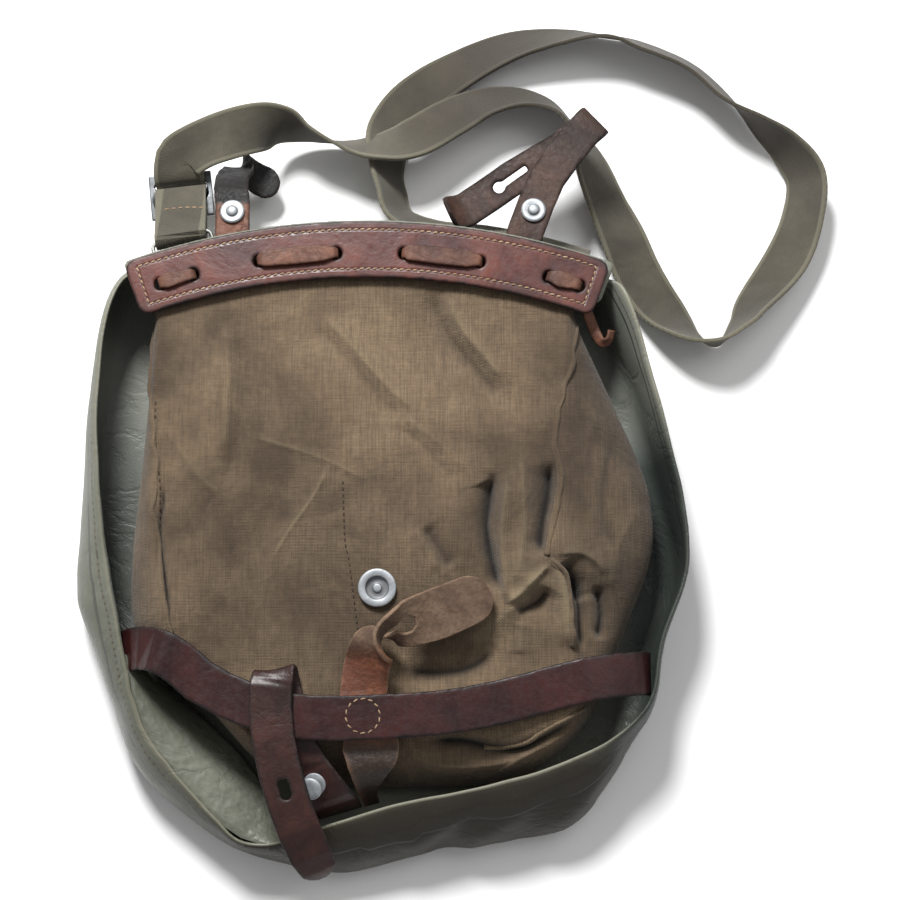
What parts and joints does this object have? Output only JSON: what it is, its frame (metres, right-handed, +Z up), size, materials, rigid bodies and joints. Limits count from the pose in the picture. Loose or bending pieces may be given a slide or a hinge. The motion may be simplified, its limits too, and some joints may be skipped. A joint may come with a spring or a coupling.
{
  "type": "haversack",
  "caption": "Worn canvas haversack lying on its coated flap, with a curved laced leather band, belt loops, a webbing shoulder strap and leather closing straps",
  "frame": {"origin": "On the floor under the middle of the flap, in the face the bag rests on", "axes": "+Z up from the floor, +Y from the flap's bottom towards the leather band, +X to the right seen from above"},
  "size_m": [0.3719, 0.4305, 0.0703],
  "materials": {
    "coated_cloth": "coated, slightly glossy, grained",
    "canvas": "coarse worn weave",
    "band_leather": "polished by wear",
    "thong_leather": "matt, worn",
    "dark_leather": "waxed, worn",
    "strap_leather": "waxed, worn",
    "suede": "rough flesh side",
    "webbing": "twill webbing",
    "aluminium": "satin",
    "ring_steel": "dull",
    "buckle_steel": "dull, dark"
  },
  "bodies": {
    "root": {"flap_shell": "coated_cloth", "band_facing": "coated_cloth", "pouch": "canvas", "leather_band": "band_leather", "lacing_thong": "thong_leather", "belt_tab_left": "dark_leather", "belt_rivet_left": "aluminium", "belt_loop_right": "dark_leather", "belt_rivet_right": "aluminium", "strap_ring": "ring_steel", "strap_anchor": "webbing", "slide_buckle": "buckle_steel", "shoulder_strap": "webbing", "cross_strap": "strap_leather", "closing_strap": "strap_leather", "closing_stud": "aluminium", "centre_tongue": "suede", "pouch_stud": "aluminium"}
  },
  "joints": []
}
